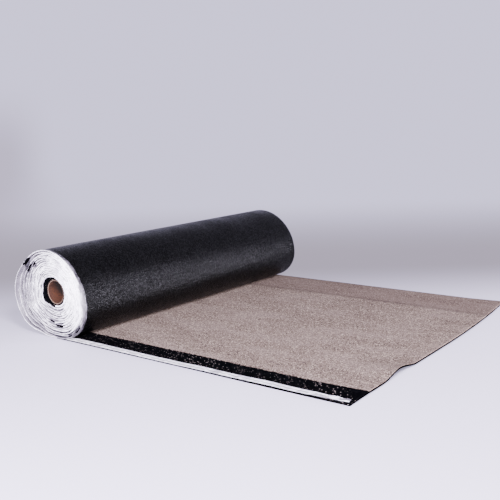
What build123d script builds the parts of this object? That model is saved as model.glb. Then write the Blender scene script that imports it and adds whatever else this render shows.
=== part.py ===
from build123d import *
import os
from math import cos, radians, sin, sqrt

# A roll of mineral-surfaced roofing felt lying on its side, with its loose end run out flat.
# It is one long sheet wound on a paper tube, with a strip of plastic film along one edge.
#
# Y runs along the roll, and the edge with the film is at -Y. The loose end runs out along +X.
# Z is up. The origin is on the floor, straight below the tube's centre line, at half the width.

# Felt sheet
felt_width = 1000.0
felt_thickness = 4.0
granule_depth = 1.0  # stone granules and the bitumen that holds them
selvage_width = 85.0  # edge strip that the granules leave bare

# Loose end on the floor
tail_reach = 919.0  # its cut end, from the tube's centre line
cut_end_set_back = 30.0  # how far back the cut runs at the far corner
ripple_length = 170.0
ripple_height = 13.0
ripple_width = 170.0
ripple_from_film_edge = 230.0
ripple_section_count = 4  # sections that its shape is drawn through

# Core tube
core_outer_diameter = 70.0
core_wall = 3.5
core_clearance = 0.6

# Film along the edge, drawn thicker than it is
film_thickness = 0.65
film_clearance = 0.3
film_overlap = 26.0  # what lies on the selvage
film_proud = 8.0  # what stands out past the felt's edge
film_hem = 2.2  # how far it hangs down past the felt's edge
film_end_set_back = 10.0

# Wound section. Its shape is given at twelve directions from the winding's centre, clockwise
# from straight down, seen from the film's end, so that the fourth points away from the tail.
direction_count = 12
roll_mean_radius = 130.0
roll_shape = (1.038, 1.114, 1.350, 1.335, 1.092, 0.946, 0.835, 0.781, 0.800, 0.892, 1.021, 1.052)
hollow_slack = (0.0, 0.13, 0.50, 0.38, 0.38, 0.21, 0.07, 0.0, 0.0, 0.0, 0.07, 0.0)
core_from_centre_x = 5.4
core_from_centre_z = -2.9
turn_clearance = 0.25
rest_share_left = 0.045  # flat at the foot of each turn, as a share of its radius
rest_share_right = 0.18
slack_decay = 0.7  # each gap on the loose side is this share of the one outside it
loose_turn_count = 3  # gaps on the loose side that run the whole width
loose_gap_margin = 1.2  # what lies between such a gap and the turn inside it
loose_side = slice(2, 7)  # of a turn's points, the ones along such a gap
far_turn_count = 4  # turns that show at the end without film, where the rest are wound tight
far_turn_depth = 4.0

selvage_thickness = felt_thickness - granule_depth
turn_pitch = felt_thickness + turn_clearance
core_outer_radius = core_outer_diameter / 2
core_inner_radius = core_outer_radius - core_wall
core_seat_radius = core_outer_radius + core_clearance
film_edge_y = -felt_width / 2
selvage_line_y = film_edge_y + selvage_width
ripple_y = film_edge_y + ripple_from_film_edge
tail_flat_end = tail_reach - ripple_length
centre_x = -core_from_centre_x
centre_z = roll_shape[0] * roll_mean_radius
tail_start = centre_x + rest_share_right * centre_z
core_height = centre_z + core_from_centre_z

film_under = selvage_thickness + film_clearance
film_over = film_under + film_thickness
film_groove_depth = film_overlap + film_clearance

film_end = Plane.XZ.offset(felt_width / 2)
far_end = Plane.XZ.offset(-felt_width / 2)


def ray(step):
    """The unit direction of one step round the section, clockwise from straight down."""
    angle = radians(270 - 360 / direction_count * step)
    return cos(angle), sin(angle)


def at(step, radius):
    """The point at a radius from the winding's centre, as X and Z."""
    across, up = ray(step)
    return centre_x + across * radius, centre_z + up * radius


def hollow_radius(step):
    """From the centre to the hollow: past the tube's seat by the slack in that direction."""
    across, up = ray(step)
    along = across * core_from_centre_x + up * core_from_centre_z
    offset_squared = core_from_centre_x**2 + core_from_centre_z**2
    seat = along + sqrt(core_seat_radius**2 - offset_squared + along**2)
    return seat + hollow_slack[step % direction_count] * core_outer_radius


def outline_radius(step):
    """From the centre to the outermost turn, which ends one pitch above the floor."""
    if step == direction_count:
        return centre_z - turn_pitch
    return roll_shape[step] * roll_mean_radius


def turned(step):
    """How far the sheet has wound in by a step, with the slack left out."""
    return turn_pitch * step / direction_count


steps = range(direction_count + 1)
room = min(outline_radius(step) + turned(step) - hollow_radius(step) for step in steps)
turn_count = int(room / turn_pitch)
wound_turns = range(turn_count - 1)


def slack_share(step, turns_in):
    """The share of a direction's slack that lies outside a turn: on the loose side most of it
    is in the outer gaps, and elsewhere it is spread evenly under a tight first turn."""
    loose = max(0.0, -ray(step)[0])
    even = max(0.0, turns_in - 1) / (turn_count - 1)
    outer = (1 - slack_decay**turns_in) / (1 - slack_decay**turn_count)
    return (1 - loose) * even + loose * outer


def turn_radius(step, turn):
    """Outer face of a turn, from the measured outline inwards."""
    begun = step / direction_count
    filled = turn_count * turn_pitch - turned(step)
    slack = (outline_radius(step) - hollow_radius(step) - filled) / (1 - slack_share(step, begun))
    passed = slack_share(step, turn + begun) - slack_share(step, begun)
    return outline_radius(step) - turn_pitch * turn - slack * passed


def turn_points(turn, depth=0.0):
    """Points of one turn at a depth under its outer face: both ends of the flat that it rests
    on, each step round, and where the next turn's flat begins."""
    begins = centre_z if turn == 0 else turn_radius(direction_count, turn - 1)
    radii = [turn_radius(step, turn) for step in steps[1:]]
    flat_right = (centre_x + rest_share_right * begins, centre_z - begins + depth)
    flat_left = (centre_x - rest_share_left * begins, centre_z - begins + depth)
    round_it = [at(step, radius - depth) for step, radius in zip(steps[1:-1], radii)]
    next_flat = (centre_x + rest_share_right * radii[-1], centre_z - radii[-1] + depth)
    return [flat_right, flat_left] + round_it + [next_flat]


def arcs_through(points):
    """A run of arcs, each through three points."""
    return [ThreePointArc(*points[step : step + 3]) for step in range(0, len(points) - 1, 2)]


def turn_arcs(turn, depth):
    """One whole turn as its flat and a run of arcs."""
    points = turn_points(turn, depth)
    return [Line(points[0], points[1])] + arcs_through(points[1:])


def spiral_outline(turns, outer_depth, next_turn, inner_depth):
    """A strip that winds in with the sheet: from a depth in each turn to a depth in the same
    turn, or in the next one."""
    with BuildLine() as outline:
        outer = [edge for turn in turns for edge in turn_arcs(turn, outer_depth)]
        inner = [edge for turn in turns for edge in turn_arcs(turn + next_turn, inner_depth)]
        Line(outer[0] @ 0, inner[0] @ 0)
        Line(outer[-1] @ 1, inner[-1] @ 1)
    return outline


def tail_section(lift):
    """Section across the loose end, with the granules' step at the selvage and a ripple."""
    near = ripple_y - ripple_width / 2
    far = ripple_y + ripple_width / 2
    half = felt_width / 2
    flat = [(1, 0), (1, 0)]
    with BuildLine() as outline:
        Line((-half, selvage_thickness), (-half, 0))
        Line((-half, 0), (near, 0))
        Spline((near, 0), (ripple_y, lift), (far, 0), tangents=flat)
        Polyline((far, 0), (half, 0), (half, felt_thickness), (far, felt_thickness))
        crest = (ripple_y, felt_thickness + lift)
        Spline((near, felt_thickness), crest, (far, felt_thickness), tangents=flat)
        Line((near, felt_thickness), (selvage_line_y, felt_thickness))
        Line((selvage_line_y, felt_thickness), (selvage_line_y, selvage_thickness))
        Line((selvage_line_y, selvage_thickness), (-half, selvage_thickness))
    return outline


# Felt: the wound roll is one solid round its hollow, with the loose end running out from
# under it. The turns show on both ends, and the slackest ones stand apart all the way through.
with BuildPart() as felt:
    with BuildSketch(film_end):
        with BuildLine():
            outer_turn = turn_arcs(0, depth=0.0)
            Line(outer_turn[-1] @ 1, outer_turn[0] @ 0)
        make_face()
    extrude(amount=-felt_width)

    with BuildSketch(Plane.YZ.offset(centre_x)):
        add(tail_section(0.0))
        make_face()
    extrude(amount=tail_flat_end - centre_x)

    for section in range(ripple_section_count):
        share = section / (ripple_section_count - 1)
        with BuildSketch(Plane.YZ.offset(tail_flat_end + ripple_length * share)):
            add(tail_section(ripple_height * share**2))
            make_face()
    loft()

    with BuildSketch(Plane.XY):
        with BuildLine():
            half = felt_width / 2
            past = tail_reach + cut_end_set_back
            cut = Spline(
                (tail_reach, -half),
                (tail_reach, 0),
                (tail_reach - cut_end_set_back, half),
                tangents=[(0, 1), (-1, 3)],
            )
            Polyline(cut @ 1, (past, half), (past, -half), cut @ 0)
        make_face()
    extrude(amount=felt_thickness + 2 * ripple_height, mode=Mode.SUBTRACT)

    with BuildSketch(film_end):
        with BuildLine():
            arcs_through([at(step, hollow_radius(step)) for step in steps])
        make_face()
    extrude(amount=-felt_width, mode=Mode.SUBTRACT)

    for turn in range(loose_turn_count):
        outside = turn_points(turn, depth=felt_thickness)[loose_side]
        inside = turn_points(turn + 1, depth=-loose_gap_margin)[loose_side]
        tips = [(Vector(*outside[end]) + Vector(*inside[end])) / 2 for end in (0, -1)]
        with BuildSketch(film_end):
            with BuildLine():
                arcs_through([tips[0], *outside[1:-1], tips[1]])
                arcs_through([tips[0], *inside[1:-1], tips[1]])
            make_face()
        extrude(amount=-felt_width, mode=Mode.SUBTRACT)

    shown = ((film_end, wound_turns, film_groove_depth), (far_end, range(far_turn_count), -far_turn_depth))
    for end, turns, depth in shown:
        with BuildSketch(end):
            add(spiral_outline(turns, selvage_thickness, next_turn=1, inner_depth=0.0))
            make_face()
        extrude(amount=-depth, mode=Mode.SUBTRACT)
felt.part.label = "felt"

# Core tube: spiral-wound paper, as long as the felt is wide, seated low in the hollow.
with BuildPart() as core_tube:
    with BuildSketch(film_end):
        with Locations((0, core_height)):
            Circle(core_outer_radius)
            Circle(core_inner_radius, mode=Mode.SUBTRACT)
    extrude(amount=-felt_width)
core_tube.part.label = "core_tube"

# Edge film: one strip that lies on the selvage, winds in with it, and stands out past its edge.
with BuildPart() as edge_film:
    with BuildSketch(film_end.offset(film_proud)):
        add(spiral_outline(wound_turns, film_under, next_turn=0, inner_depth=film_over))
        make_face()
    extrude(amount=-film_proud - film_overlap)

    with BuildSketch(Plane.YZ.offset(tail_start)):
        with BuildLine():
            hem_out = film_edge_y - film_clearance - film_thickness
            hem_in = film_edge_y - film_clearance
            Polyline(
                (film_edge_y + film_overlap, film_under),
                (hem_in, film_under),
                (hem_in, film_over - film_hem),
                (hem_out, film_over - film_hem),
                (hem_out, film_over),
                (film_edge_y + film_overlap, film_over),
                close=True,
            )
        make_face()
    extrude(amount=tail_reach - film_end_set_back - tail_start)
edge_film.part.label = "edge_film"

os.makedirs("parts", exist_ok=True)
export_step(felt.part, "parts/felt.step")
export_step(core_tube.part, "parts/core_tube.step")
export_step(edge_film.part, "parts/edge_film.step")
print("turns", turn_count)
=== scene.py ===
from math import atan2, cos, exp, pi, radians, sin, sqrt

import bmesh
import bpy
from mathutils import Matrix, Vector, noise


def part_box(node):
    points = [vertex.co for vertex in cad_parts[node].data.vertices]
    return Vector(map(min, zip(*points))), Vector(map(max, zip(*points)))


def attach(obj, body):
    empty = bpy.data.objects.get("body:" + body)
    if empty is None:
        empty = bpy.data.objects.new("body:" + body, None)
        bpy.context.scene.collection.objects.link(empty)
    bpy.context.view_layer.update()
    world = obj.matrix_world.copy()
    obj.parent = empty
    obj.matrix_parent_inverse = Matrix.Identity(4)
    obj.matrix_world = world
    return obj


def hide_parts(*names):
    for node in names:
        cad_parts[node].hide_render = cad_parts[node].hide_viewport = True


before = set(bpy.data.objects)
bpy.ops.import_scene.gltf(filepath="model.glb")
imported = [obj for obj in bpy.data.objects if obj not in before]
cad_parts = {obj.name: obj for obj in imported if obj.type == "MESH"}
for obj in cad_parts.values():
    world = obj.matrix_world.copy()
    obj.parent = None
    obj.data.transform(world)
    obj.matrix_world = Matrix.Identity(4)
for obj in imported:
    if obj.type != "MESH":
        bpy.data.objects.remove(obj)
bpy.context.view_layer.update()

# Core tube
# A stiff tube of brown kraft paper, wound in a spiral and glued, so the seams of the paper run
# round it as a shallow helix. It is cut with a saw, which leaves its ends a little furred.
TUBE_RADIUS = 0.035
TUBE_WALL = 0.0035
TUBE_STEPS = 96
PAPER_STRIP = 0.09  # width of the paper that the tube is wound from
RIM_BEVEL = 0.0006


def to_linear(channel):
    return channel / 12.92 if channel <= 0.04045 else ((channel + 0.055) / 1.055) ** 2.4


def colour(code):
    """An sRGB hex value as the linear colour that shaders take."""
    return tuple(to_linear(int(code[i : i + 2], 16) / 255) for i in (1, 3, 5)) + (1.0,)


def add_node(tree, kind, inputs=None, **settings):
    """Adds a node, sets it, and sets or links what feeds it."""
    node = tree.nodes.new(kind)
    for name, value in settings.items():
        setattr(node, name, value)
    for name, value in (inputs or {}).items():
        if isinstance(value, bpy.types.NodeSocket):
            tree.links.new(value, node.inputs[name])
        else:
            node.inputs[name].default_value = value
    return node


def new_material(name):
    material = bpy.data.materials.new(name)
    material.use_nodes = True
    return material, material.node_tree, material.node_tree.nodes["Principled BSDF"]


def blend_colours(tree, factor, first, second):
    mix = add_node(tree, "ShaderNodeMix", data_type="RGBA")
    for socket, value in ((0, factor), (6, first), (7, second)):
        if isinstance(value, bpy.types.NodeSocket):
            tree.links.new(value, mix.inputs[socket])
        else:
            mix.inputs[socket].default_value = value
    return mix.outputs[2]


def stretch(tree, value, low, high, to_low=0.0, to_high=1.0):
    """Maps low..high to to_low..to_high, smoothly and held at both ends."""
    inputs = {"Value": value, "From Min": low, "From Max": high, "To Min": to_low, "To Max": to_high}
    return add_node(tree, "ShaderNodeMapRange", inputs, interpolation_type="SMOOTHSTEP").outputs["Result"]


def add_piece(name, mesh, materials):
    piece = bpy.data.objects.new(name, mesh)
    bpy.context.scene.collection.objects.link(piece)
    for material in materials:
        mesh.materials.append(material)
    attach(piece, "root")
    return piece


low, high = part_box("core_tube")
TUBE_AXIS_Z = (low[2] + high[2]) / 2
FILM_END_Y, FAR_END_Y = low[1], high[1]

paper, tree, shader = new_material("kraft_paper_tube")
# Kraft paper: brown, matt and fibrous, with a dark helical seam once each strip's width, and
# painted shade further in. The sawn ends are greyer, and pale at the inner edge.
place = add_node(tree, "ShaderNodeTexCoord").outputs["Object"]
fibre = add_node(tree, "ShaderNodeTexNoise", {"Vector": place, "Scale": 260.0, "Detail": 4.0})
fibrous = stretch(tree, fibre.outputs["Fac"], 0.35, 0.65)
stain = add_node(tree, "ShaderNodeTexNoise", {"Vector": place, "Scale": 9.0, "Detail": 2.0})
stained = stretch(tree, stain.outputs["Fac"], 0.35, 0.7)
kraft = blend_colours(tree, fibrous, colour("#2c1509"), colour("#41220f"))
kraft = blend_colours(tree, stained, kraft, colour("#24160b"))
where = add_node(tree, "ShaderNodeSeparateXYZ", {"Vector": place})
raised = add_node(
    tree, "ShaderNodeMath", {0: where.outputs["Z"], 1: TUBE_AXIS_Z}, operation="SUBTRACT"
).outputs[0]
round_it = add_node(tree, "ShaderNodeMath", {0: raised, 1: where.outputs["X"]}, operation="ARCTAN2")
strips = add_node(tree, "ShaderNodeMath", {0: where.outputs["Y"], 1: PAPER_STRIP}, operation="DIVIDE")
turned = {0: round_it.outputs[0], 1: 0.5 / pi, 2: strips.outputs[0]}
helix = add_node(tree, "ShaderNodeMath", turned, operation="MULTIPLY_ADD")
lapped = add_node(tree, "ShaderNodeMath", {0: helix.outputs[0]}, operation="FRACT")
seam = stretch(tree, lapped.outputs[0], 0.0, 0.02, 0.7, 0.0)
kraft = blend_colours(tree, seam, kraft, colour("#180e07"))
# Painted shade: the paper inside goes dark further in from each end, where light hardly reaches.
from_middle = add_node(tree, "ShaderNodeMath", {0: where.outputs["Y"]}, operation="ABSOLUTE")
sloped = {0: raised, 1: -0.6, 2: from_middle.outputs[0]}  # the dark comes further out at the top
shaded = add_node(tree, "ShaderNodeMath", sloped, operation="MULTIPLY_ADD")
inner_shade = stretch(tree, shaded.outputs[0], FAR_END_Y - 0.018, FAR_END_Y - 0.040, 0.0, 0.93)
kraft = blend_colours(tree, inner_shade, kraft, colour("#060302"))
flat = add_node(tree, "ShaderNodeVectorMath", {0: place, 1: (1.0, 0.0, 1.0)}, operation="MULTIPLY")
to_axis = {0: flat.outputs[0], 1: (0.0, 0.0, TUBE_AXIS_Z)}
from_axis = add_node(tree, "ShaderNodeVectorMath", to_axis, operation="DISTANCE")
# The sawn ends are paler at the inner edge.
pale_inner_edge = stretch(tree, from_axis.outputs["Value"], TUBE_RADIUS - 0.0030, TUBE_RADIUS - 0.0016, 1.0, 0.0)
rim = blend_colours(tree, pale_inner_edge, colour("#261b14"), colour("#5e4c3d"))
sawn = stretch(tree, where.outputs["Y"], FILM_END_Y + 0.0002, FILM_END_Y + 0.0012, 1.0, 0.0)
tree.links.new(blend_colours(tree, sawn, kraft, rim), shader.inputs["Base Color"])
shader.inputs["Roughness"].default_value = 0.82
shader.inputs["Specular IOR Level"].default_value = 0.3
raised_fibre = {"Height": fibre.outputs["Fac"], "Strength": 0.35, "Distance": 0.0004}
bump = add_node(tree, "ShaderNodeBump", raised_fibre)
tree.links.new(bump.outputs["Normal"], shader.inputs["Normal"])

bm = bmesh.new()
section = [
    (TUBE_RADIUS - TUBE_WALL, FAR_END_Y),
    (TUBE_RADIUS - TUBE_WALL, FILM_END_Y + RIM_BEVEL),
    (TUBE_RADIUS - TUBE_WALL + RIM_BEVEL, FILM_END_Y),
    (TUBE_RADIUS - RIM_BEVEL, FILM_END_Y),
    (TUBE_RADIUS, FILM_END_Y + RIM_BEVEL),
    (TUBE_RADIUS, FAR_END_Y),
]
corners = [bm.verts.new((radius, y, TUBE_AXIS_Z)) for radius, y in section]
edges = [bm.edges.new(pair) for pair in zip(corners, corners[1:] + corners[:1])]
bmesh.ops.spin(
    bm,
    geom=corners + edges,
    cent=(0, 0, TUBE_AXIS_Z),
    axis=(0, 1, 0),
    angle=2 * pi,
    steps=TUBE_STEPS,
    use_merge=True,
)
bmesh.ops.remove_doubles(bm, verts=bm.verts, dist=1e-6)
bmesh.ops.recalc_face_normals(bm, faces=bm.faces)
for face in bm.faces:
    face.smooth = True
tube_mesh = bpy.data.meshes.new("paper_tube")
bm.to_mesh(tube_mesh)
bm.free()
tube_mesh.set_sharp_from_angle(angle=radians(35))
paper_tube = add_piece("paper_tube", tube_mesh, [paper])
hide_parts("core_tube")

# Felt
# One long sheet of polymer bitumen on a fabric carrier. Its outside in the roll is its back, under
# a thin embossed melt-off film. Its inside is faced with mineral granules up to the bare selvage.
FELT_THICKNESS = 0.004
GRANULE_DEPTH = 0.001
SELVAGE_WIDTH = 0.085
TURN_CLEARANCE = 0.00025
CORE_CLEARANCE = 0.0006
TUBE_FROM_CENTRE_X = 0.0054
TUBE_FROM_CENTRE_Z = -0.0029
SLACK_DECAY = 0.7  # each gap on the loose side is this share of the one outside it
CREASE_Y = 0.320  # of the long crease in the loose end

# The roll is given at twelve directions from its centre, clockwise from straight down: its outline
# as shares of a mean radius, and the slack round the tube as shares of the tube's radius.
DIRECTIONS = 12
MEAN_RADIUS = 0.130
ROLL_SHAPE = (1.038, 1.114, 1.350, 1.335, 1.092, 0.946, 0.835, 0.781, 0.800, 0.892, 1.021, 1.052)
HOLLOW_SLACK = (0.0, 0.13, 0.50, 0.38, 0.38, 0.21, 0.07, 0.0, 0.0, 0.0, 0.07, 0.0)

PITCH = FELT_THICKNESS + TURN_CLEARANCE
SEAT_RADIUS = TUBE_RADIUS + CORE_CLEARANCE
CENTRE_X = -TUBE_FROM_CENTRE_X
CENTRE_Z = ROLL_SHAPE[0] * MEAN_RADIUS
SELVAGE_LINE_Y = FILM_END_Y + SELVAGE_WIDTH


def ray(step):
    """The unit direction of a step round the section, clockwise from straight down."""
    angle = radians(270 - 360 / DIRECTIONS * step)
    return cos(angle), sin(angle)


def hollow_radius(step):
    across, up = ray(step)
    along = across * TUBE_FROM_CENTRE_X + up * TUBE_FROM_CENTRE_Z
    offset_squared = TUBE_FROM_CENTRE_X**2 + TUBE_FROM_CENTRE_Z**2
    seat = along + sqrt(SEAT_RADIUS**2 - offset_squared + along**2)
    return seat + HOLLOW_SLACK[step % DIRECTIONS] * TUBE_RADIUS


def outline_radius(step):
    if step == DIRECTIONS:
        return CENTRE_Z - PITCH
    return ROLL_SHAPE[step] * MEAN_RADIUS


steps = range(DIRECTIONS + 1)
room = min(outline_radius(step) + PITCH * step / DIRECTIONS - hollow_radius(step) for step in steps)
TURNS = int(room / PITCH)


def slack_share(step, turns_in):
    """The share of a direction's slack that lies outside a turn, most of it so on the loose side."""
    loose = max(0.0, -ray(step)[0])
    even = max(0.0, turns_in - 1) / (TURNS - 1)
    outer = (1 - SLACK_DECAY**turns_in) / (1 - SLACK_DECAY**TURNS)
    return (1 - loose) * even + loose * outer


def radius_at_step(count):
    """From the winding's centre to the sheet's back, a whole number of steps in from the floor."""
    if count <= 0:
        return radius_at_step(-count) if count else CENTRE_Z
    turn, step = divmod(count - 1, DIRECTIONS)
    step += 1
    begun = step / DIRECTIONS
    filled = TURNS * PITCH - PITCH * begun
    slack = (outline_radius(step) - hollow_radius(step) - filled) / (1 - slack_share(step, begun))
    passed = slack_share(step, turn + begun) - slack_share(step, begun)
    return outline_radius(step) - PITCH * turn - slack * passed


STEP_RADII = [radius_at_step(count) for count in range(-1, DIRECTIONS * TURNS + 2)]


def held(value, low=0.0, high=1.0):
    """The value, or the limit that it goes past."""
    return max(low, min(high, value))


def winding_radius(turns_in):
    """From the winding's centre to the sheet's back at any point: a smooth curve through the steps."""
    count = held(turns_in * DIRECTIONS, high=DIRECTIONS * TURNS - 0.001)
    first = int(count)
    share = count - first
    before, start, stop, after = STEP_RADII[first : first + 4]
    leaves, arrives = (stop - before) / 2, (after - start) / 2
    square, cube = share**2, share**3
    return (
        (2 * cube - 3 * square + 1) * start
        + (cube - 2 * square + share) * leaves
        + (3 * square - 2 * cube) * stop
        + (cube - square) * arrives
    )


def wound_place(turns_in, depth=0.0):
    """A point of the winding as X and Z, at a depth under the sheet's back."""
    angle = radians(270) - 2 * pi * turns_in
    radius = winding_radius(turns_in) - depth
    return Vector((CENTRE_X + cos(angle) * radius, CENTRE_Z + sin(angle) * radius))


def lay_grid(columns, rows, place):
    """A grid of faces with each corner put where place says, and a UV map in metres."""
    bm = bmesh.new()
    bmesh.ops.create_grid(bm, x_segments=columns, y_segments=rows, size=0.5)
    layer = bm.loops.layers.uv.new("sheet")
    laid = {}
    for vertex in bm.verts:
        laid[vertex] = place(vertex.co.x + 0.5, vertex.co.y + 0.5)
    for face in bm.faces:
        face.smooth = True
        for loop in face.loops:
            loop[layer].uv = laid[loop.vert][1]
    for vertex in bm.verts:
        vertex.co = laid[vertex][0]
    return bm


def to_mesh(bm, name):
    mesh = bpy.data.meshes.new(name)
    bm.to_mesh(mesh)
    bm.free()
    return mesh


def thicken(piece):
    """Gives the sheet its thickness on its inner side."""
    solidify = piece.modifiers.new("thickness", "SOLIDIFY")
    solidify.thickness = FELT_THICKNESS
    solidify.offset = -1
    solidify.use_rim = True
    solidify.use_even_offset = False
    solidify.material_offset = 1  # the granules, after the film on its back
    solidify.material_offset_rim = 2  # the cut edge
    solidify.vertex_group = "thickness"


def weight_selvage(piece):
    """The bare selvage is thinner than the sheet by the granules."""
    group = piece.vertex_groups.new(name="thickness")
    for vertex in piece.data.vertices:
        bare = vertex.co.y < SELVAGE_LINE_Y
        share = (FELT_THICKNESS - GRANULE_DEPTH) / FELT_THICKNESS if bare else 1.0
        group.add([vertex.index], share, "REPLACE")


melt_film, tree, shader = new_material("melt_off_film_on_bitumen")
# Melt-off film: thin black polythene pressed into the bitumen in a fine emboss, which glints where
# it faces the light. Its emboss is about a millimetre wide, and drawn at 3 mm so that it shows.
place = add_node(tree, "ShaderNodeTexCoord").outputs["Object"]
emboss = add_node(tree, "ShaderNodeTexVoronoi", {"Vector": place, "Scale": 330.0})
cell = add_node(tree, "ShaderNodeSeparateColor", {"Color": emboss.outputs["Color"]})
grit = add_node(tree, "ShaderNodeTexNoise", {"Vector": place, "Scale": 380.0, "Detail": 3.0})
patch = add_node(tree, "ShaderNodeTexNoise", {"Vector": place, "Scale": 11.0, "Detail": 5.0})
raised_cells = stretch(tree, cell.outputs["Red"], 0.7, 0.95)
black = blend_colours(tree, raised_cells, colour("#010101"), colour("#060607"))
tree.links.new(black, shader.inputs["Base Color"])
worn = stretch(tree, patch.outputs["Fac"], 0.35, 0.65, 0.3, 0.42)
tree.links.new(worn, shader.inputs["Roughness"])
glint = stretch(tree, cell.outputs["Green"], 0.2, 1.0, 0.04, 0.13)
tree.links.new(glint, shader.inputs["Specular IOR Level"])
both = {0: emboss.outputs["Distance"], 1: grit.outputs["Fac"]}
relief = add_node(tree, "ShaderNodeMath", both, operation="ADD").outputs[0]
bump = add_node(tree, "ShaderNodeBump", {"Height": relief, "Strength": 0.5, "Distance": 0.0018})
tree.links.new(bump.outputs["Normal"], shader.inputs["Normal"])

granules, tree, shader = new_material("slate_granules")
# Slate granules: crushed stone about a millimetre across, pressed into the hot face. Matt, pink
# grey and mottled, and strewn thinly over the selvage. Painted shade darkens them along the long
# crease and beyond it, and blackens them in the hollow round the tube. Drawn at about 2 mm so that
# they show.
place = add_node(tree, "ShaderNodeTexCoord").outputs["Object"]
where = add_node(tree, "ShaderNodeSeparateXYZ", {"Vector": place})
grain = add_node(tree, "ShaderNodeTexVoronoi", {"Vector": place, "Scale": 430.0})
tone = add_node(tree, "ShaderNodeSeparateColor", {"Color": grain.outputs["Color"]})
fine = add_node(tree, "ShaderNodeTexNoise", {"Vector": place, "Scale": 150.0, "Detail": 3.0}).outputs["Fac"]
lengthwise = add_node(tree, "ShaderNodeMapping", {"Vector": place, "Scale": (4.5, 13.0, 4.5)}).outputs[0]
streak = add_node(tree, "ShaderNodeTexNoise", {"Vector": lengthwise, "Scale": 1.0, "Detail": 5.0})
grain_tone = stretch(tree, tone.outputs["Red"], 0.0, 1.0)
stone = blend_colours(tree, grain_tone, colour("#372d29"), colour("#83756a"))
stone = blend_colours(tree, stretch(tree, tone.outputs["Green"], 0.88, 0.93), stone, colour("#27211e"))
stone = blend_colours(tree, stretch(tree, tone.outputs["Green"], 0.06, 0.03), stone, colour("#b0a190"))
stone = blend_colours(tree, stretch(tree, fine, 0.35, 0.68, 0.0, 0.4), stone, colour("#62544d"))
mottle = stretch(tree, streak.outputs["Fac"], 0.42, 0.65, 0.0, 0.26)
stone = blend_colours(tree, mottle, stone, colour("#7e7068"))
rubbed = stretch(tree, streak.outputs["Fac"], 0.5, 0.32, 0.0, 0.18)
stone = blend_colours(tree, rubbed, stone, colour("#4b403c"))
# Painted shade along the long crease, and a darker strip beyond it as shade on its far side.
creased = add_node(
    tree, "ShaderNodeMath", {0: where.outputs["Y"], 1: CREASE_Y}, operation="SUBTRACT"
).outputs[0]
apart = add_node(tree, "ShaderNodeMath", {0: creased}, operation="ABSOLUTE").outputs[0]
stone = blend_colours(tree, stretch(tree, apart, 0.004, 0.02, 0.45, 0.0), stone, colour("#3b322f"))
stone = blend_colours(tree, stretch(tree, creased, -0.02, 0.03, 0.0, 0.4), stone, colour("#4b3e3a"))
# Painted shade: the granules go black in the hollow round the tube, where light hardly reaches.
flat = add_node(tree, "ShaderNodeVectorMath", {0: place, 1: (1.0, 0.0, 1.0)}, operation="MULTIPLY")
to_axis = {0: flat.outputs[0], 1: (0.0, 0.0, TUBE_AXIS_Z)}
from_axis = add_node(tree, "ShaderNodeVectorMath", to_axis, operation="DISTANCE")
hollow_shade = stretch(tree, from_axis.outputs["Value"], 0.064, 0.060)
stone = blend_colours(tree, hollow_shade, stone, colour("#050404"))
bitumen = blend_colours(tree, stretch(tree, fine, 0.45, 0.7), colour("#030304"), colour("#08080a"))
scatter = add_node(tree, "ShaderNodeTexVoronoi", {"Vector": place, "Scale": 230.0})
chosen = add_node(tree, "ShaderNodeSeparateColor", {"Color": scatter.outputs["Color"]})
near_middle = stretch(tree, scatter.outputs["Distance"], 0.22, 0.38, 1.0, 0.0)
sparse = stretch(tree, chosen.outputs["Blue"], 0.85, 0.93)
strewn = add_node(tree, "ShaderNodeMath", {0: sparse, 1: near_middle}, operation="MULTIPLY")
selvage = blend_colours(tree, strewn.outputs[0], bitumen, colour("#7f7672"))
shifted = {0: fine, 1: 0.010, 2: where.outputs["Y"]}
ragged = add_node(tree, "ShaderNodeMath", shifted, operation="MULTIPLY_ADD")
faced = stretch(tree, ragged.outputs[0], SELVAGE_LINE_Y + 0.003, SELVAGE_LINE_Y + 0.007)
tree.links.new(blend_colours(tree, faced, selvage, stone), shader.inputs["Base Color"])
tree.links.new(stretch(tree, faced, 0.0, 1.0, 0.6, 0.9), shader.inputs["Roughness"])
shader.inputs["Specular IOR Level"].default_value = 0.0
raised_grain = {"Height": grain.outputs["Distance"], "Strength": 0.6, "Distance": 0.0012}
bump = add_node(tree, "ShaderNodeBump", raised_grain)
tree.links.new(bump.outputs["Normal"], shader.inputs["Normal"])

cut_bitumen, tree, shader = new_material("cut_bitumen_edge")
# Knife-cut bitumen: dull black. The carrier's fibres show in it as faint specks.
place = add_node(tree, "ShaderNodeTexCoord").outputs["Object"]
fibre = add_node(tree, "ShaderNodeTexNoise", {"Vector": place, "Scale": 900.0, "Detail": 2.0})
fibrous = stretch(tree, fibre.outputs["Fac"], 0.6, 0.75)
black = blend_colours(tree, fibrous, colour("#010101"), colour("#050404"))
tree.links.new(black, shader.inputs["Base Color"])
shader.inputs["Roughness"].default_value = 0.9
shader.inputs["Specular IOR Level"].default_value = 0.0

# Wound part of the felt: the turns inside the outermost one, in to where it was started on the tube.
MEAN_TURN_LENGTH = 0.6
COLUMNS_EACH_TURN = 72
WOUND_COLUMNS = COLUMNS_EACH_TURN * (TURNS - 2)
WOUND_ROWS = 5
SELVAGE_STEP = 0.0005  # half the width over which the sheet gets thicker
WOUND_ROW_PLACES = (
    FILM_END_Y,
    SELVAGE_LINE_Y - SELVAGE_STEP,
    SELVAGE_LINE_Y + SELVAGE_STEP,
    -0.1,
    0.2,
    FAR_END_Y,
)


def wound_felt_place(along, across):
    row = round(across * WOUND_ROWS)
    turns_in = 1 + along * (TURNS - 2)
    x, z = wound_place(turns_in)
    y = WOUND_ROW_PLACES[row]
    return (x, y, z), (turns_in * MEAN_TURN_LENGTH, y)


wound_felt = add_piece(
    "wound_felt",
    to_mesh(lay_grid(WOUND_COLUMNS, WOUND_ROWS, wound_felt_place), "wound_felt"),
    [melt_film, granules, cut_bitumen],
)
weight_selvage(wound_felt)
thicken(wound_felt)
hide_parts("felt")

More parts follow.
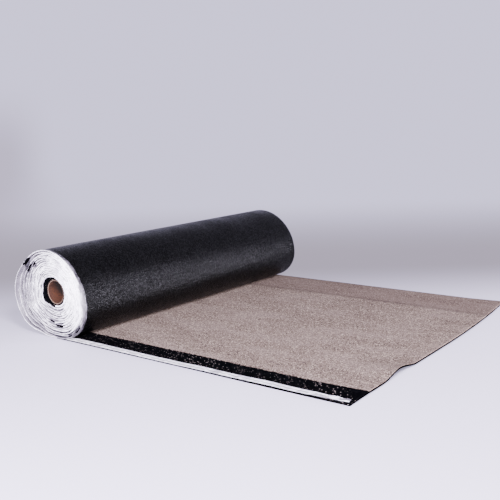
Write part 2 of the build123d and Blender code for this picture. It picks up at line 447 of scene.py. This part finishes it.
# Outer turn and loose end of the felt. The end ran out flat, but keeps a ripple at its cut edge, a
# long crease and a few shallow waves from the winding.
TAIL_END_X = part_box("felt")[1][0]
TAIL_START_X = CENTRE_X
OUTER_TURN_LENGTH = 0.85
CUT_SET_BACK = 0.030
OUTER_COLUMNS = 300
OUTER_ROWS = 100
TAIL_SHARE = 0.6  # of the columns
RIPPLE_Y = -0.270
RIPPLE_HALF_WIDTH = 0.085
RIPPLE_LENGTH = 0.170
RIPPLE_HEIGHT = 0.012
CREASE_HALF_WIDTH = 0.014
CREASE_HEIGHT = 0.0022
CREASE_START_X = 0.1
CREASE_STOP_X = 0.85
WAVE_HEIGHT = 0.0011
WAVES_START_X = 0.12
CUT_STANDS_OFF = 0.0034  # the cut end, off the floor
CUT_LIFT_LENGTH = 0.14


def tail_lift(x, y):
    """How far the loose end stands off the floor."""
    from_end = max(0.0, 1 - (TAIL_END_X - x) / RIPPLE_LENGTH)
    across = max(0.0, 1 - abs(y - RIPPLE_Y) / RIPPLE_HALF_WIDTH)
    ripple = RIPPLE_HEIGHT * from_end**2 * across**2 * (3 - 2 * across)
    crease = CREASE_HEIGHT * exp(-(((y - CREASE_Y) / CREASE_HALF_WIDTH) ** 2))
    crease *= held((x - CREASE_START_X) / 0.2) * held((CREASE_STOP_X - x) / 0.1)
    waves = WAVE_HEIGHT * max(0.0, noise.noise(Vector((x * 5, y * 4, 2.0))))
    stands_off = CUT_STANDS_OFF * max(0.0, 1 - (TAIL_END_X - x) / CUT_LIFT_LENGTH)
    stands_off *= min(1.0, 0.3 + (y - FILM_END_Y) / 0.1)  # less so at the selvage
    return ripple + crease + stands_off + waves * held((x - WAVES_START_X) / 0.2)


def cut_end_x(y):
    return TAIL_END_X - CUT_SET_BACK * max(0.0, y / FAR_END_Y) ** 2


def outer_felt_place(along, across):
    y = FILM_END_Y + (FAR_END_Y - FILM_END_Y) * across
    if along < TAIL_SHARE:
        out = 1 - along / TAIL_SHARE
        x = TAIL_START_X + (cut_end_x(y) - TAIL_START_X) * out
        return (x, y, tail_lift(x, y)), (-x, y)
    turns_in = (along - TAIL_SHARE) / (1 - TAIL_SHARE)
    x, z = wound_place(turns_in)
    return (x, y, z), (turns_in * OUTER_TURN_LENGTH, y)


outer_felt = add_piece(
    "outer_felt",
    to_mesh(lay_grid(OUTER_COLUMNS, OUTER_ROWS, outer_felt_place), "outer_felt"),
    [melt_film, granules, cut_bitumen],
)
weight_selvage(outer_felt)
thicken(outer_felt)
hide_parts("felt")

# Edge film
# A strip of thin white plastic that keeps the bare selvage from sticking. It lies along the edge,
# is folded over it, and is crushed into white ridges where the turns are wound together.
BAND_WIDTH = 0.026  # what lies on the selvage
FILM_OFF = 0.0003  # how far it lies off the felt
FILM_PROUD = 0.0042  # how far a fold stands out past the felt, on average
VALLEY_SHARE = 0.9  # how deep the film dips into a gap, as a share of its width
VALLEY_LEAST = 0.0015
VALLEY_DEEPEST = 0.010
NARROW_GAP = 0.003  # up to this the black shows through in places
LIP_WIDTH = 0.010  # on the roll's outside
HIDDEN_LIP_WIDTH = 0.002  # between turns
CREST_TONE = 0.0042  # the film's tone: white here, grey at nought and dark at -0.003
WHITEST_Z = 0.13
LONG_FOLD = 0.070  # lengths of the film's folds along the edge
STUCK_FOLD = 0.060
TWISTED_FOLD = 0.028
SUNK_FOLD = 0.026
SHORT_STUCK_FOLD = 0.020
SHORT_FOLD = 0.016
FINE_FOLD = 0.006
BULGES_EACH_METRE = 42
NOISE_SPREAD = 1.8  # noise by itself seldom comes near to 1
LEAST_PROUD = 0.0004
MOST_PROUD = 0.0078
DRAWN_BACK_PROUD = 0.0015  # at most, where the film is drawn back from a gap
ABOVE_FLOOR = 0.0004
SMALLEST_GAP = 0.0002  # kept inside the innermost turn, so that no face is flat
WOUND_FILM_COLUMNS = 4200
WOUND_FILM_ROWS = 12
OPEN_GAPS = (  # where the film is drawn back from a gap: X, Z, half its length, and what is left
    (-0.1180, 0.2030, 0.021, 0.0008),
    (-0.1059, 0.1876, 0.018, 0.0012),
    (-0.0809, 0.2014, 0.012, 0.0016),
    (-0.0745, 0.1980, 0.008, 0.0030),
    (0.0196, 0.0710, 0.004, 0.0010),
    (-0.0185, 0.0507, 0.014, 0.0003),
    (0.0101, 0.0383, 0.018, 0.0003),
    (0.0832, 0.0407, 0.018, 0.0003),
    (0.0500, 0.0190, 0.010, 0.0026),
)

white_film, tree, shader = new_material("white_polythene_film")
# Polythene film: milky white and softly glossy. Its creases run along the edge that it wraps, some
# 2 to 5 mm apart, with finer ones across, and are painted grey as shade. Where it sinks between
# turns it is painted darker, as shade in the gap and as the black showing through it. Its UV map
# gives the distance along the edge, and a tone of painted light and shade that falls where it sinks.
along_edge = add_node(tree, "ShaderNodeUVMap", uv_map="sheet").outputs["UV"]
pulled = add_node(tree, "ShaderNodeMapping", {"Vector": along_edge, "Scale": (45.0, 300.0, 1.0)})
crease = add_node(tree, "ShaderNodeTexNoise", {"Vector": pulled.outputs[0], "Scale": 1.0, "Detail": 4.0})
crease.inputs["Distortion"].default_value = 1.5
place = add_node(tree, "ShaderNodeTexCoord").outputs["Object"]
crumpled = {"Vector": place, "Scale": 170.0, "Detail": 4.0, "Distortion": 1.0}
crumple = add_node(tree, "ShaderNodeTexNoise", crumpled)
smudge = add_node(tree, "ShaderNodeTexNoise", {"Vector": place, "Scale": 24.0, "Detail": 4.0})
smudged = stretch(tree, smudge.outputs["Fac"], 0.4, 0.7)
milk = blend_colours(tree, smudged, colour("#f8f7f9"), colour("#e2dfe6"))
film_tone = add_node(tree, "ShaderNodeSeparateXYZ", {"Vector": along_edge}).outputs["Y"]
# The dark tones: painted shade in the gaps, and the black showing through the thin film.
shade_and_black_showing = blend_colours(tree, stretch(tree, film_tone, -0.003, 0.0), colour("#151316"), colour("#656067"))
milk = blend_colours(tree, stretch(tree, film_tone, 0.0, CREST_TONE), shade_and_black_showing, milk)
# Painted shade: the creases are darkened to grey.
creased = stretch(tree, crease.outputs["Fac"], 0.52, 0.66, 0.0, 0.7)
milk = blend_colours(tree, creased, milk, colour("#6a6670"))
tree.links.new(milk, shader.inputs["Base Color"])
shader.inputs["Roughness"].default_value = 0.34
both = {0: crease.outputs["Fac"], 1: crumple.outputs["Fac"]}
relief = add_node(tree, "ShaderNodeMath", both, operation="ADD")
bump = add_node(tree, "ShaderNodeBump", {"Height": relief.outputs[0], "Strength": 0.7, "Distance": 0.0022})
tree.links.new(bump.outputs["Normal"], shader.inputs["Normal"])


def ripple_along(distance, length, seed):
    """A smooth random value from -1 to 1 along the sheet's edge, new every length."""
    return held(NOISE_SPREAD * noise.noise(Vector((distance / length, seed, 0.5))), -1.0, 1.0)


def turn_at(x, z):
    """Which turn has a place in the gap inside it, as how far the sheet has wound in."""
    across, up = x - CENTRE_X, z - CENTRE_Z
    begun = (radians(270) - atan2(up, across)) / (2 * pi) % 1
    radius = sqrt(across**2 + up**2)
    gaps = {}
    for turn in range(TURNS - 2):
        turns_in = turn + begun
        gaps[turns_in] = (winding_radius(turns_in) - FELT_THICKNESS + winding_radius(turns_in + 1)) / 2
    return min(gaps, key=lambda turns_in: abs(gaps[turns_in] - radius))


OPEN_TURNS = [(turn_at(x, z), reach, left) for x, z, reach, left in OPEN_GAPS]


def drawn_back(turns_in, radius):
    """How far the film is drawn back here, from 0 to 1, and what is left of it."""
    for open_turn, reach, left in OPEN_TURNS:
        away = abs(turns_in - open_turn) * 2 * pi * radius / reach
        if away < 1:
            return min(1.0, 3 * (1 - away)), left
    return 0.0, 0.0


def wound_film_place(along, across):
    """The film on one turn: its lip on the back, the fold past the edge, and the dip to the next."""
    turns_in = along * (TURNS - 1.01)  # just short of the sheet's inner end
    row = round(across * WOUND_FILM_ROWS)
    distance = turns_in * MEAN_TURN_LENGTH
    angle = radians(270) - 2 * pi * turns_in
    outer = winding_radius(turns_in)
    gap = FELT_THICKNESS + SMALLEST_GAP
    if turns_in < TURNS - 2:
        gap = outer - winding_radius(turns_in + 1)
    slack = max(0.0, gap - FELT_THICKNESS)
    middle = outer - FELT_THICKNESS / 2
    x, z = CENTRE_X + cos(angle) * middle, CENTRE_Z + sin(angle) * middle
    bulge = NOISE_SPREAD * noise.noise(Vector((x * BULGES_EACH_METRE, z * BULGES_EACH_METRE, 1.5)))
    long_wave = ripple_along(distance, LONG_FOLD, 3.0)
    short_wave = ripple_along(distance, SHORT_FOLD, 9.0)
    twist = ripple_along(distance, TWISTED_FOLD, 21.0)
    tiny = ripple_along(distance, FINE_FOLD, 31.0)

    # Here and there it is stuck to the next turn, most so at the upper right, and fills the gap.
    stuck = ripple_along(distance, STUCK_FOLD, 51.0)
    stuck_short = ripple_along(distance, SHORT_STUCK_FOLD, 57.0)
    touch = 0.38 + 0.3 * cos(angle) + 0.2 * sin(angle)
    touch += 0.9 * stuck + 0.4 * bulge + 0.3 * stuck_short
    touch = held(touch - slack * 160)

    # The fold stands out past the felt, but hardly so on the turn just inside an open gap.
    uneven = held(turns_in / 3, 0.35, 1.0)  # the outermost turns are smoothed down
    proud = 0.0024 * long_wave + 0.0016 * bulge + 0.0012 * short_wave + 0.0005 * tiny
    proud = FILM_PROUD * (0.6 + 0.4 * uneven) + proud * uneven
    beside_gap = drawn_back(turns_in - 1, outer)[0]
    proud = held(proud, LEAST_PROUD, MOST_PROUD) * (1 - 0.85 * beside_gap)
    lean = (0.0012 + 0.0010 * max(0.0, -sin(angle))) * twist + min(0.0015, slack * 0.2) * long_wave

    # The tone is painted light and shade: whitest at the right of the end, halfway up, and painted
    # greyer towards the left, the top and the foot. It is also grey over the lower right of the outer
    # turns.
    white = 0.60 + 3.3 * x * held((z - 0.02) / 0.08, 0.2, 1.0) + 0.12 * bulge
    white = held(white - max(3.0 * (WHITEST_Z - z), 2.2 * (z - WHITEST_Z)))
    lower_right_grey = max(0.0, cos(angle + 0.45)) ** 2 * held(1.35 - turns_in / 2.2)
    crest = CREST_TONE * (white + 0.27 + 0.18 * long_wave + 0.08 * tiny - 0.9 * beside_gap)
    crest -= CREST_TONE * (1.25 + 0.6 * short_wave) * lower_right_grey

    # In between it dips into the gap, where its tone is painted darker as shade in the gap. Over a
    # narrow one it is painted dark in places, as shade and as the black showing through.
    dip = min(VALLEY_DEEPEST, VALLEY_LEAST + slack * VALLEY_SHARE) * (1 + 0.4 * short_wave)
    if turns_in > TURNS - 2.2:  # the innermost turn stays clear of the hollow
        proud, lean, dip = proud * 0.5, 0.0, 0.0
    dark = max(0.0, ripple_along(distance, SUNK_FOLD, 77.0) - 0.35) * max(0.0, 1 - slack / NARROW_GAP)
    low_left = 2 * max(0.0, -sin(angle)) * max(0.0, -cos(angle))
    valley = CREST_TONE * (white - 0.45 - 0.35 * max(0.0, -sin(angle)) + 0.3 * low_left + 0.35 * twist)
    valley -= 0.010 * dark * (1 - 0.7 * low_left)
    valley += (crest - valley) * touch
    level = proud * 0.75 * touch

    lip, lip_end, lip_middle = HIDDEN_LIP_WIDTH, crest, crest
    if turns_in < 1:  # it shows on the roll's outside, drawn thin
        lip = LIP_WIDTH + 0.002 * long_wave + 0.0012 * short_wave
        lip_end, lip_middle = -0.0025, -0.0013 + 0.0010 * short_wave
    ways = (  # depth under the sheet's back, how far it stands out, and its tone
        (-FILM_OFF, -lip, lip_end),
        (-FILM_OFF, -lip * 0.22, lip_middle),
        (-FILM_OFF, 0.0004, crest),
        (0.0003 + lean * 0.5, proud * 0.62, crest),
        (0.0010 + lean, proud * (0.94 + 0.06 * tiny), crest + 0.001),
        (0.0019 + lean, proud, crest + 0.001),
        (0.0028 + lean, proud * (0.92 - 0.08 * tiny), crest * 0.7 + valley * 0.3),
        (0.0036 + lean * 0.6, proud * 0.68, crest * 0.3 + valley * 0.7),
        (FELT_THICKNESS + slack * 0.12, level - dip * 0.3 * (1 - touch), valley),
        (FELT_THICKNESS + slack * 0.35, level - dip * 0.75 * (1 - touch), valley),
        (FELT_THICKNESS + slack * 0.62, level - dip * (1 - touch), valley),
        (FELT_THICKNESS + slack * 0.85, level - dip * 0.8 * (1 - touch), valley),
        (FELT_THICKNESS + slack * 0.97, level - dip * 0.4 * (1 - touch), valley),
    )
    depth, out, tone = ways[row]
    pulled_back, left = drawn_back(turns_in, outer)
    if depth > left:
        gathered = left * depth / (FELT_THICKNESS + slack)
        depth += (gathered - depth) * pulled_back
    out += (min(out, DRAWN_BACK_PROUD) - out) * pulled_back
    radius = outer - depth
    x, z = CENTRE_X + cos(angle) * radius, CENTRE_Z + sin(angle) * radius
    return (x, FILM_END_Y - out, max(z, ABOVE_FLOOR)), (distance, tone)


wound_film = add_piece(
    "wound_edge_film",
    to_mesh(lay_grid(WOUND_FILM_COLUMNS, WOUND_FILM_ROWS, wound_film_place), "wound_edge_film"),
    [white_film],
)

# Film along the loose end, which lies flatter, and is drawn in and frayed at the cut.
LOOSE_FILM_COLUMNS = 900
LOOSE_FILM_ROWS = 8
FILM_SHORT_OF_CUT = 0.009
FRAYED_LENGTH = 0.14
BARED_START_X = 0.5  # where the film begins to lie further in from the edge
BARED_WIDTH = 0.005
LOOSE_LONG_FOLD = 0.070
LOOSE_FRAY = 0.030
LOOSE_FOLD = 0.012
LOOSE_STRAND = 0.005


def loose_film_place(along, across):
    """The film along the loose end: a band with a fold along it, drawn in and frayed at its end."""
    x = TAIL_START_X + (TAIL_END_X - FILM_SHORT_OF_CUT - TAIL_START_X) * along
    top = FELT_THICKNESS - GRANULE_DEPTH + FILM_OFF + tail_lift(x, FILM_END_Y)
    wave = ripple_along(x, LOOSE_LONG_FOLD, 41.0)
    fold = ripple_along(x, LOOSE_FOLD, 43.0)
    strand = ripple_along(x, LOOSE_STRAND, 47.0)
    frayed = max(0.0, 1 - (TAIL_END_X - x) / FRAYED_LENGTH)
    bared = held((x - BARED_START_X) / 0.2)
    edge = FILM_END_Y - 0.0004 + 0.0006 * (1 + wave) + BARED_WIDTH * bared
    edge += 0.004 * frayed * (1 + 0.5 * fold)
    rise = 0.0005 * (1 + fold) + 0.0012 * frayed * (1.1 + wave + 0.6 * strand)
    width = BAND_WIDTH - 0.004 + 0.0012 * wave - 0.003 * frayed * (1 + fold)
    white = CREST_TONE * (0.8 + 0.2 * fold)
    # The fold down the middle of the band is painted dark: shade in the fold, and the black showing through
    # it.
    seam = 0.0002 + 0.0010 * wave
    ways = (  # how far in from the edge, how high, and the film's tone
        (width, top, white * 0.7),
        (width * 0.84, top + rise * 0.5, white),
        (width * 0.6, top + rise * 1.2 * (1 + fold), white),
        (width * 0.46, top + rise * 0.3, seam),
        (width * 0.40, top + rise * 0.3, seam),
        (width * 0.30, top + rise * 2.2, white),
        (width * 0.20, top + rise * 0.4, white * 0.7),
        (width * 0.08, top + rise * (1 - fold), white),
        (0.0, top + rise * 0.3, white),
    )
    row = round(across * LOOSE_FILM_ROWS)
    inward, z, tone = ways[row]
    tone += frayed * (0.0050 * ripple_along(x, LOOSE_FRAY, 60.0 + 3.7 * row) - 0.0022)
    return (x, edge + inward, max(z, ABOVE_FLOOR)), (x, tone)


loose_film = add_piece(
    "loose_edge_film",
    to_mesh(lay_grid(LOOSE_FILM_COLUMNS, LOOSE_FILM_ROWS, loose_film_place), "loose_edge_film"),
    [white_film],
)
for piece in (wound_film, loose_film):
    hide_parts("edge_film")

# Floor, light and camera
# A pale floor that fades, through painted shade, into a glowing backdrop. A softbox stands low in
# front, a second one on the right, and a small one low behind gives the black back its sheen.
FLOOR_HALF = 30.0
BACKDROP = (1.13, 1.06, 1.5, 1.0)
ROOM = (0.55, 0.52, 0.68, 1.0)
FLOOR = colour("#c8c4d4")
SHADED = (0.55, 0.49, 0.63, 1.0)  # painted shade on the far floor, out of the lamps' reach
SHADED_LEFT = (0.78, 0.70, 0.96, 1.0)
BACKDROP_AWAY = 7.0
BACKDROP_HALF = 9.0
BACKDROP_TOP = 2.6
SHADE_SLANT = 0.283  # how far the dimmer part leans away from the picture's left
LAMP_COLOUR = (1.0, 0.95, 1.12)
CAMERA_PLACE = Vector((1.6537, -1.7803, 0.5820))
CAMERA_AZIMUTH = radians(37.43)
CAMERA_ELEVATION = radians(-9.77)
CAMERA_ROLL = radians(-1.606)
CAMERA_LENS = 54.446

level = Vector((cos(CAMERA_AZIMUTH), sin(CAMERA_AZIMUTH), 0.0))
ahead = Vector((-sin(CAMERA_AZIMUTH), cos(CAMERA_AZIMUTH), 0.0))


def backdrop_glow(tree, place):
    """Even glow of the backdrop, with painted shade low down on the left."""
    slant = level + ahead * SHADE_SLANT
    aside = add_node(tree, "ShaderNodeVectorMath", {0: place, 1: slant}, operation="DOT_PRODUCT")
    left = stretch(tree, aside.outputs["Value"], -0.1, -0.8)
    height = add_node(tree, "ShaderNodeSeparateXYZ", {"Vector": place}).outputs["Z"]
    dimmer = add_node(tree, "ShaderNodeMath", {0: left}, operation="MULTIPLY")
    tree.links.new(stretch(tree, height, 0.2, 1.2, 1.0, 0.0), dimmer.inputs[1])
    return blend_colours(tree, dimmer.outputs[0], BACKDROP, SHADED_LEFT)


floor_paint, tree, shader = new_material("pale_floor")
# Painted board: pale lilac grey and matt. Further back it is drawn as a glow of painted shade,
# where less light reaches it behind the roll, which fades into the backdrop's tone.
place = add_node(tree, "ShaderNodeTexCoord").outputs["Object"]
beyond = add_node(
    tree, "ShaderNodeVectorMath", {0: place, 1: ahead}, operation="DOT_PRODUCT"
).outputs["Value"]
shader.inputs["Base Color"].default_value = FLOOR
shader.inputs["Roughness"].default_value = 0.7
shader.inputs["Specular IOR Level"].default_value = 0.2
shade = blend_colours(tree, stretch(tree, beyond, 0.7, 3.0), SHADED, backdrop_glow(tree, place))
glow = add_node(tree, "ShaderNodeEmission", {"Color": shade, "Strength": 1.0})
painted_far_floor = stretch(tree, beyond, -0.35, 0.55)
mixed = add_node(tree, "ShaderNodeMixShader", {0: painted_far_floor, 1: shader.outputs[0], 2: glow.outputs[0]})
tree.links.new(mixed.outputs[0], tree.nodes["Material Output"].inputs["Surface"])

backdrop_paint, tree, shader = new_material("lit_backdrop")
# The same board standing up, drawn as a glow, with painted shade low down on the left.
place = add_node(tree, "ShaderNodeTexCoord").outputs["Object"]
glow = add_node(tree, "ShaderNodeEmission", {"Color": backdrop_glow(tree, place), "Strength": 1.0})
tree.links.new(glow.outputs[0], tree.nodes["Material Output"].inputs["Surface"])

bm = bmesh.new()
bmesh.ops.create_grid(bm, x_segments=1, y_segments=1, size=FLOOR_HALF)
floor_mesh = to_mesh(bm, "floor")
floor_mesh.materials.append(floor_paint)

bm = bmesh.new()
foot = [bm.verts.new(ahead * BACKDROP_AWAY + level * side) for side in (-BACKDROP_HALF, BACKDROP_HALF)]
wall_edge = bm.edges.new(foot)
raised = bmesh.ops.extrude_edge_only(bm, edges=[wall_edge])["geom"]
top = [part for part in raised if isinstance(part, bmesh.types.BMVert)]
bmesh.ops.translate(bm, verts=top, vec=(0, 0, BACKDROP_TOP))
backdrop_mesh = to_mesh(bm, "backdrop")
backdrop_mesh.materials.append(backdrop_paint)
for name, mesh in (("floor", floor_mesh), ("backdrop", backdrop_mesh)):
    piece = bpy.data.objects.new(name, mesh)
    bpy.context.scene.collection.objects.link(piece)

world = bpy.data.worlds.new("soft_room")
bpy.context.scene.world = world
world.use_nodes = True
world.node_tree.nodes["Background"].inputs["Color"].default_value = ROOM
world.node_tree.nodes["Background"].inputs["Strength"].default_value = 1.0


def add_light(name, place, aim, size, power):
    light = bpy.data.lights.new(name, "AREA")
    light.size = size
    light.energy = power
    light.color = LAMP_COLOUR
    holder = bpy.data.objects.new(name, light)
    holder.location = place
    holder.rotation_euler = (Vector(aim) - Vector(place)).to_track_quat("-Z", "Y").to_euler()
    bpy.context.scene.collection.objects.link(holder)


add_light("front_softbox", (1.3, -2.8, 0.75), (0.0, -0.5, 0.12), 0.7, 460)
add_light("right_softbox", (2.4, -1.6, 1.9), (0.2, -0.4, 0.0), 0.7, 185)
add_light("back_softbox", (2.5, 1.1, 0.27), (0.1, -0.3, 0.15), 0.45, 210)

look = Vector((
    -sin(CAMERA_AZIMUTH) * cos(CAMERA_ELEVATION),
    cos(CAMERA_AZIMUTH) * cos(CAMERA_ELEVATION),
    sin(CAMERA_ELEVATION),
))
upright = level.cross(look)
right = level * cos(CAMERA_ROLL) + upright * sin(CAMERA_ROLL)
up = upright * cos(CAMERA_ROLL) - level * sin(CAMERA_ROLL)
camera_data = bpy.data.cameras.new("camera")
camera_data.lens = CAMERA_LENS
camera_data.sensor_width = 36.0
camera_data.clip_end = 200.0
camera = bpy.data.objects.new("camera", camera_data)
camera.matrix_world = Matrix((right, up, -look)).transposed().to_4x4()
camera.location = CAMERA_PLACE
bpy.context.scene.collection.objects.link(camera)
bpy.context.scene.camera = camera
